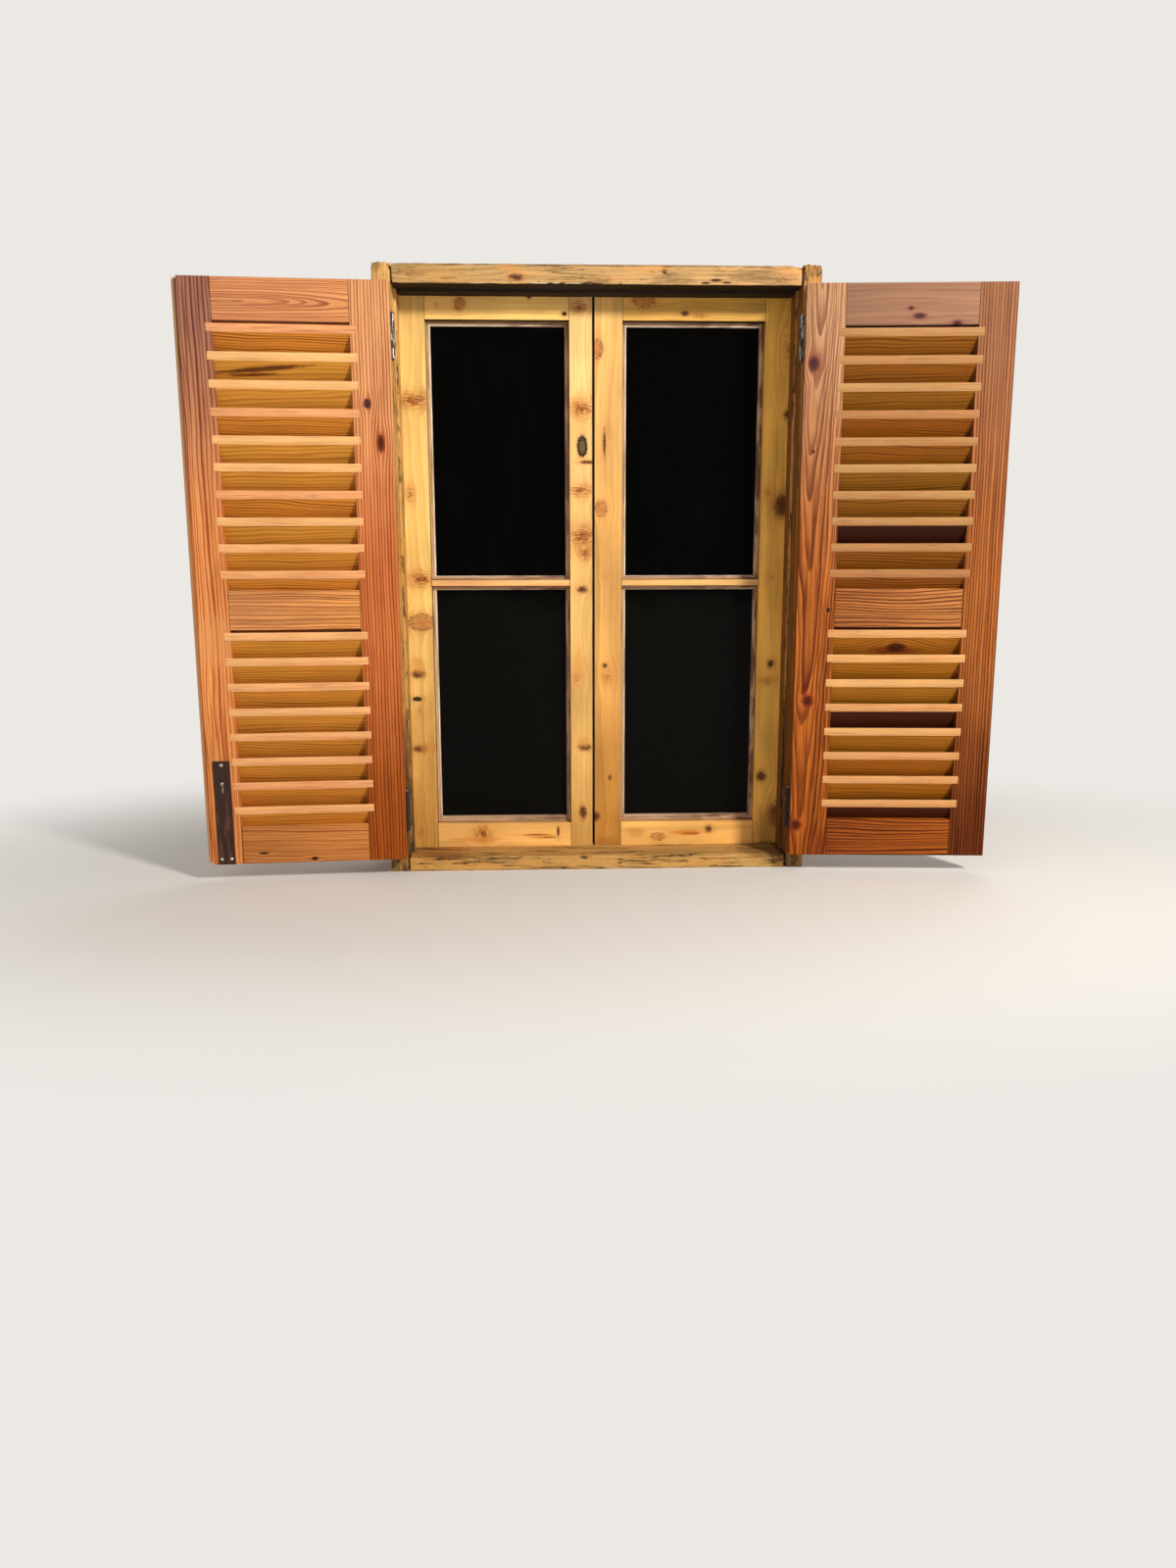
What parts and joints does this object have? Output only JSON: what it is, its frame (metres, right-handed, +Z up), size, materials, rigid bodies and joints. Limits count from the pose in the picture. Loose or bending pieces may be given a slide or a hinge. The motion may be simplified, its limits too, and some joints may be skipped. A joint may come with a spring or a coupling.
{
  "type": "window shutters",
  "caption": "Pair of louvred wooden shutters on their weathered window frame, with two inward-opening casement sashes, butt hinges and a slide bolt.",
  "frame": {"origin": "middle of the frame's underside, halfway through the frame's depth", "axes": "+X to the right seen from outside, +Y into the room, +Z up; the shutters stand open to both sides"},
  "size_m": [1.5781, 0.2177, 1.193],
  "materials": {
    "shutter_wood": "oiled reddish softwood, weathered",
    "frame_wood": "old bare pine, weathered and stained",
    "sash_wood": "clear-finished knotty pine",
    "bead_wood": "greyed pine",
    "glass": "clear float glass",
    "worn_steel": "worn, with rust in the joints",
    "bright_steel": "bright zinc-plated",
    "bolt_plate_steel": "dark brown paint, matt",
    "latch_brass": "dulled brass"
  },
  "bodies": {
    "shutter_bolt": {"bolt_knob": "bright_steel", "slide_bolt": "bright_steel"},
    "left_shutter": {"bolt_plate": "bolt_plate_steel", "bolt_plate_screws": "bright_steel", "left_lower_hinge_leaf_flap": "worn_steel", "left_shutter_bottom_rail": "shutter_wood", "left_shutter_free_stile": "shutter_wood", "left_shutter_hinge_screws": "bright_steel", "left_shutter_hinge_stile": "shutter_wood", "left_shutter_lower_slats": "shutter_wood", "left_shutter_mid_rail": "shutter_wood", "left_shutter_top_rail": "shutter_wood", "left_shutter_upper_slats": "shutter_wood", "left_upper_hinge_leaf_flap": "worn_steel"},
    "frame": {"frame_hinge_screws": "bright_steel", "head_rail": "frame_wood", "left_jamb": "frame_wood", "left_lower_hinge_frame_flap": "worn_steel", "left_upper_hinge_frame_flap": "worn_steel", "right_jamb": "frame_wood", "right_lower_hinge_frame_flap": "worn_steel", "right_upper_hinge_frame_flap": "worn_steel", "sash_hinge_frame_flaps": "worn_steel", "sash_hinge_pins": "worn_steel", "shutter_hinge_pins": "worn_steel", "sill_rail": "frame_wood"},
    "sash_latch": {"latch_lever": "latch_brass"},
    "right_sash": {"latch_pivot": "latch_brass", "latch_plate": "latch_brass", "latch_screws": "bright_steel", "right_sash_beads": "bead_wood", "right_sash_bottom_rail": "sash_wood", "right_sash_glazing_bar": "sash_wood", "right_sash_hinge_flaps": "worn_steel", "right_sash_hinge_screws": "bright_steel", "right_sash_lower_pane": "glass", "right_sash_meeting_stile": "sash_wood", "right_sash_outer_stile": "sash_wood", "right_sash_top_rail": "sash_wood", "right_sash_upper_pane": "glass"},
    "left_sash": {"left_sash_beads": "bead_wood", "left_sash_bottom_rail": "sash_wood", "left_sash_glazing_bar": "sash_wood", "left_sash_hinge_flaps": "worn_steel", "left_sash_hinge_screws": "bright_steel", "left_sash_lower_pane": "glass", "left_sash_meeting_stile": "sash_wood", "left_sash_outer_stile": "sash_wood", "left_sash_top_rail": "sash_wood", "left_sash_upper_pane": "glass"},
    "right_shutter": {"right_lower_hinge_leaf_flap": "worn_steel", "right_shutter_bottom_rail": "shutter_wood", "right_shutter_free_stile": "shutter_wood", "right_shutter_hinge_screws": "bright_steel", "right_shutter_hinge_stile": "shutter_wood", "right_shutter_lower_slats": "shutter_wood", "right_shutter_mid_rail": "shutter_wood", "right_shutter_top_rail": "shutter_wood", "right_shutter_upper_slats": "shutter_wood", "right_upper_hinge_leaf_flap": "worn_steel"}
  },
  "joints": [
    {"name": "left_shutter_swing", "type": "hinge", "parent": "frame", "child": "left_shutter", "pos_m": [-0.393, -0.07, 0.6], "axis": [0, 0, 1], "range_deg": [-4, 176]},
    {"name": "right_shutter_swing", "type": "hinge", "parent": "frame", "child": "right_shutter", "pos_m": [0.393, -0.07, 0.6], "axis": [0, 0, -1], "range_deg": [-4, 176]},
    {"name": "bolt_slide", "type": "slide", "parent": "left_shutter", "child": "shutter_bolt", "axis": [0, 0, -1], "range_m": [0, 0.018]},
    {"name": "left_sash_swing", "type": "hinge", "parent": "frame", "child": "left_sash", "pos_m": [-0.4015, 0.0692, 0.6], "axis": [0, 0, 1], "range_deg": [0, 95]},
    {"name": "right_sash_swing", "type": "hinge", "parent": "frame", "child": "right_sash", "pos_m": [0.4015, 0.0692, 0.6], "axis": [0, 0, -1], "range_deg": [0, 95]},
    {"name": "latch_turn", "type": "hinge", "parent": "right_sash", "child": "sash_latch", "pos_m": [0.02475, 0.07, 0.56], "axis": [0, 1, 0], "range_deg": [0, 90]}
  ]
}
